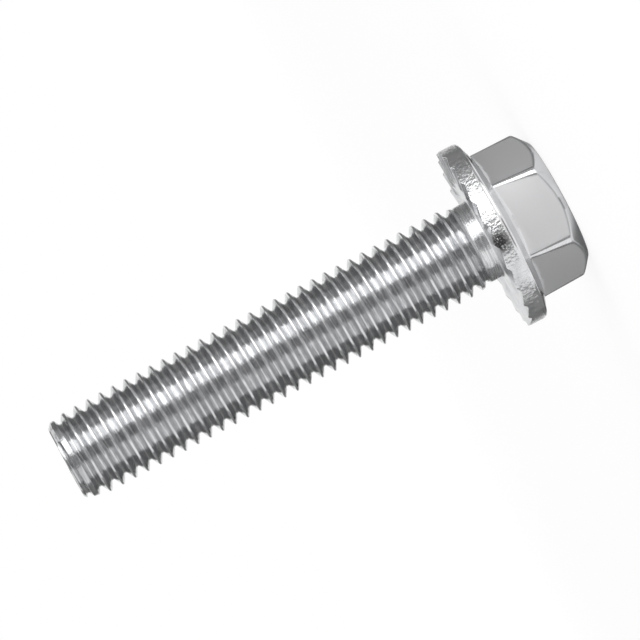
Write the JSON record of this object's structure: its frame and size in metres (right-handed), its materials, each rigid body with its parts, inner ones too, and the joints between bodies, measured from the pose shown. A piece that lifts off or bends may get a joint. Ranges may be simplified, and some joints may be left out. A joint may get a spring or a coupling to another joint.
{
  "type": "flange bolt",
  "caption": "Hexagon flange bolt, M10 coarse thread, 50 mm under the head, with a ratchet-serrated bearing flange and a short reduced neck.",
  "frame": {"origin": "on the bolt's axis, in the plane of the tooth crests under the flange, which is the plane that the joint is clamped on", "axes": "+Z along the axis from the flange to the tip of the shank; X through two corners of the hexagon and Y square to two of its flats"},
  "size_m": [0.0208, 0.0208, 0.0594],
  "materials": {
    "zinc_plated_steel": "bright zinc plate on forged and rolled steel, satin"
  },
  "bodies": {
    "root": {"flange_bolt": "zinc_plated_steel"}
  },
  "joints": []
}
